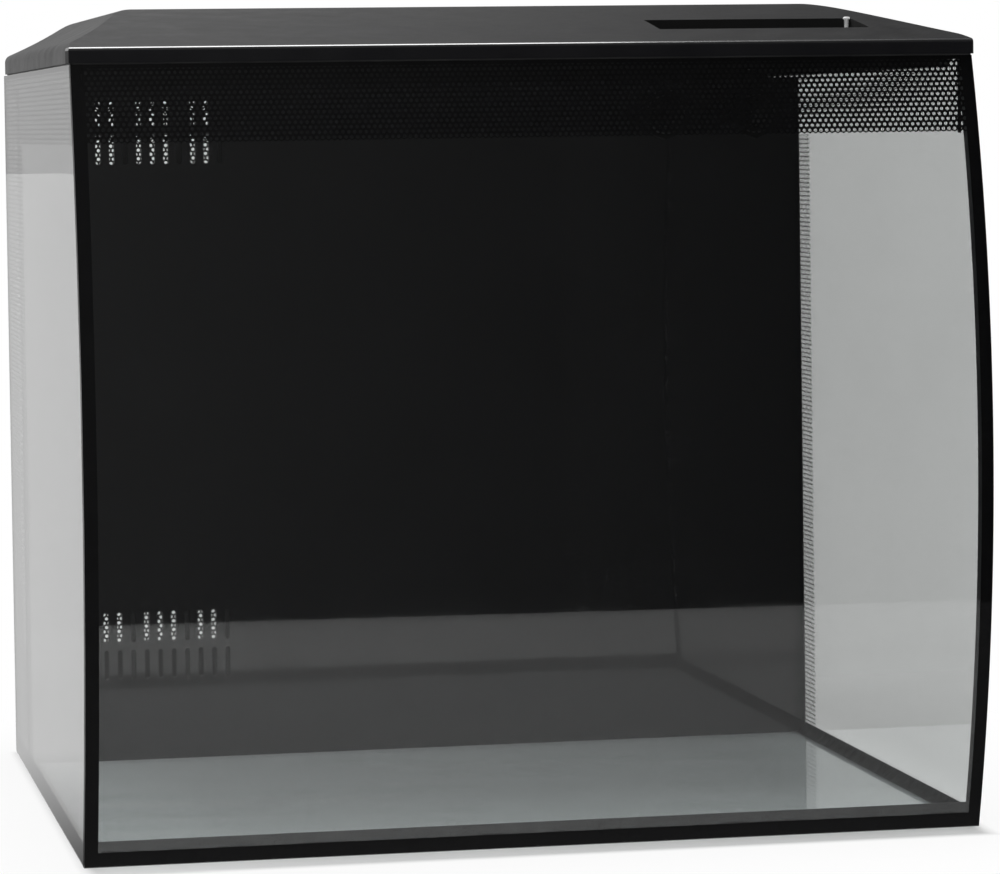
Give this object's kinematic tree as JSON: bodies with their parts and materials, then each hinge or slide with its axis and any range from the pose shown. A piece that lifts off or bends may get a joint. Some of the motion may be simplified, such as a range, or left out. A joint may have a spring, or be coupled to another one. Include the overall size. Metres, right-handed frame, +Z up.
{
  "type": "aquarium",
  "caption": "Desktop glass aquarium with a bowed front pane, a slotted black partition before a rear filter chamber, and a hipped black lid with lamp and feeding door.",
  "frame": {"origin": "middle of the whole object's footprint, at the level the bottom pane stands on", "axes": "+X to the right along the panes' width, +Y to the back, +Z up"},
  "size_m": [0.4116, 0.3899, 0.3808],
  "materials": {
    "glass": "clear polished",
    "silicone": "satin",
    "gloss_black": "gloss",
    "satin_black": "satin, fine grain",
    "door_black": "satin",
    "frame_black": "satin",
    "filter_black": "satin",
    "strainer_black": "matt",
    "foam": "open cells",
    "carbon_mesh": "mesh over grains",
    "ring_mesh": "mesh over rings",
    "pump_black": "satin",
    "rotor": "satin",
    "steel": "satin",
    "soft_rubber": "matt",
    "hose": "soft gloss",
    "fitting_black": "satin",
    "nozzle_black": "satin",
    "bright_clip": "bright",
    "lamp_case": "satin",
    "lamp_lens": "frosted",
    "lamp_board": "gloss",
    "lamp_chip": "gloss"
  },
  "bodies": {
    "tank": {"carbon_bag": "carbon_mesh", "ceramic_ring_bag": "ring_mesh", "foam_chamber_wall": "filter_black", "glass_back": "glass", "glass_bottom": "glass", "glass_front": "glass", "glass_left": "glass", "glass_right": "glass", "intake_strainer": "strainer_black", "media_chamber_wall": "filter_black", "media_shelf": "filter_black", "nozzle_locknuts": "fitting_black", "partition": "gloss_black", "pump_cable_gland": "soft_rubber", "pump_chamber_wall": "filter_black", "pump_cover": "pump_black", "pump_housing": "pump_black", "pump_shaft": "steel", "pump_shaft_bushes": "soft_rubber", "pump_suction_feet": "soft_rubber", "return_hose": "hose", "return_manifold": "fitting_black", "silicone_back_seams": "silicone", "silicone_floor_seam": "silicone", "silicone_front_seams": "silicone", "silicone_partition_seams": "silicone"},
    "lid": {"lid_shell": "satin_black", "lid_front_trim": "gloss_black", "lid_frame": "frame_black", "lid_frame_screws": "steel", "feeding_door_pin": "steel", "door_spring_clip": "bright_clip", "lamp_housing": "lamp_case", "lamp_board": "lamp_board", "lamp_chips": "lamp_chip", "lamp_lens": "lamp_lens", "lamp_gasket": "soft_rubber", "lamp_screws": "steel", "lamp_socket": "lamp_case"},
    "feeding_door": {"feeding_door": "door_black"},
    "foam": {"foam_block": "foam", "foam_lifter": "filter_black"},
    "impeller": {"pump_impeller": "rotor"},
    "nozzle_left": {"nozzle_left": "nozzle_black"},
    "nozzle_right": {"nozzle_right": "nozzle_black"}
  },
  "joints": [
    {"name": "lid_lift", "type": "slide", "parent": "tank", "child": "lid", "axis": [0, 0, 1], "range_m": [0, 0.15]},
    {"name": "feeding_door_hinge", "type": "hinge", "parent": "lid", "child": "feeding_door", "pos_m": [0.1175, -0.1038, 0.36485], "axis": [-1, 0, 0], "range_deg": [0, 88]},
    {"name": "foam_lift", "type": "slide", "parent": "tank", "child": "foam", "axis": [0, 0, 1], "range_m": [0, 0.045]},
    {"name": "impeller_spin", "type": "hinge", "parent": "tank", "child": "impeller", "pos_m": [0.15, 0.1545, 0.034], "axis": [1, 0, 0], "continuous": true},
    {"name": "nozzle_left_turn", "type": "hinge", "parent": "tank", "child": "nozzle_left", "pos_m": [0.128, 0.11, 0.328], "axis": [0, 1, 0], "continuous": true},
    {"name": "nozzle_right_turn", "type": "hinge", "parent": "tank", "child": "nozzle_right", "pos_m": [0.176, 0.11, 0.328], "axis": [0, 1, 0], "continuous": true}
  ]
}
